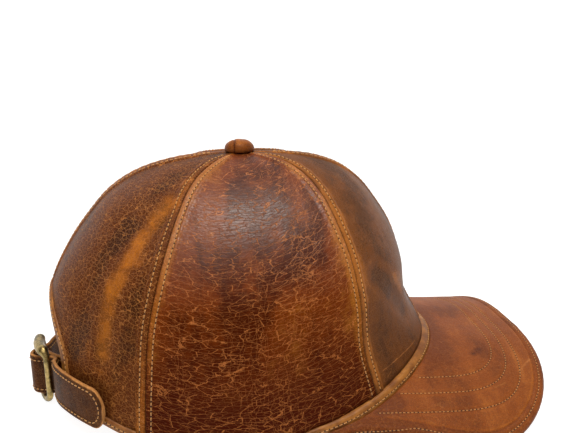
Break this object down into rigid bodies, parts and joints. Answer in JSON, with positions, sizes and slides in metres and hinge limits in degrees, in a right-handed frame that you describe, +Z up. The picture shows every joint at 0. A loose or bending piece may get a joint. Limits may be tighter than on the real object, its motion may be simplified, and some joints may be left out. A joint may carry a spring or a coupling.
{
  "type": "leather baseball cap",
  "caption": "Panelled leather cap with a curved stitched peak, a top button, and a buckled strap across a half-round opening at the back; worn to shade the eyes.",
  "frame": {"origin": "middle of the bounding box in X and Y, on the surface the cap rests on", "axes": "+X towards the front edge of the peak, +Y towards the wearer's left, +Z up"},
  "size_m": [0.2786, 0.1818, 0.1391],
  "materials": {
    "crown_leather": "worn, waxed, half gloss",
    "peak_leather": "worn, waxed, half gloss",
    "edge_leather": "rubbed, half gloss",
    "strap_leather": "worn, waxed, half gloss",
    "antique_brass": "aged, dark in the corners"
  },
  "bodies": {
    "root": {"front_left_panel": "crown_leather", "side_left_panel": "crown_leather", "back_left_panel": "crown_leather", "back_right_panel": "crown_leather", "side_right_panel": "crown_leather", "front_right_panel": "crown_leather", "top_button": "crown_leather", "rim_binding": "edge_leather", "arch_binding": "edge_leather", "peak": "peak_leather", "strap_left": "strap_leather", "strap_right": "strap_leather", "buckle": "antique_brass"}
  },
  "joints": []
}
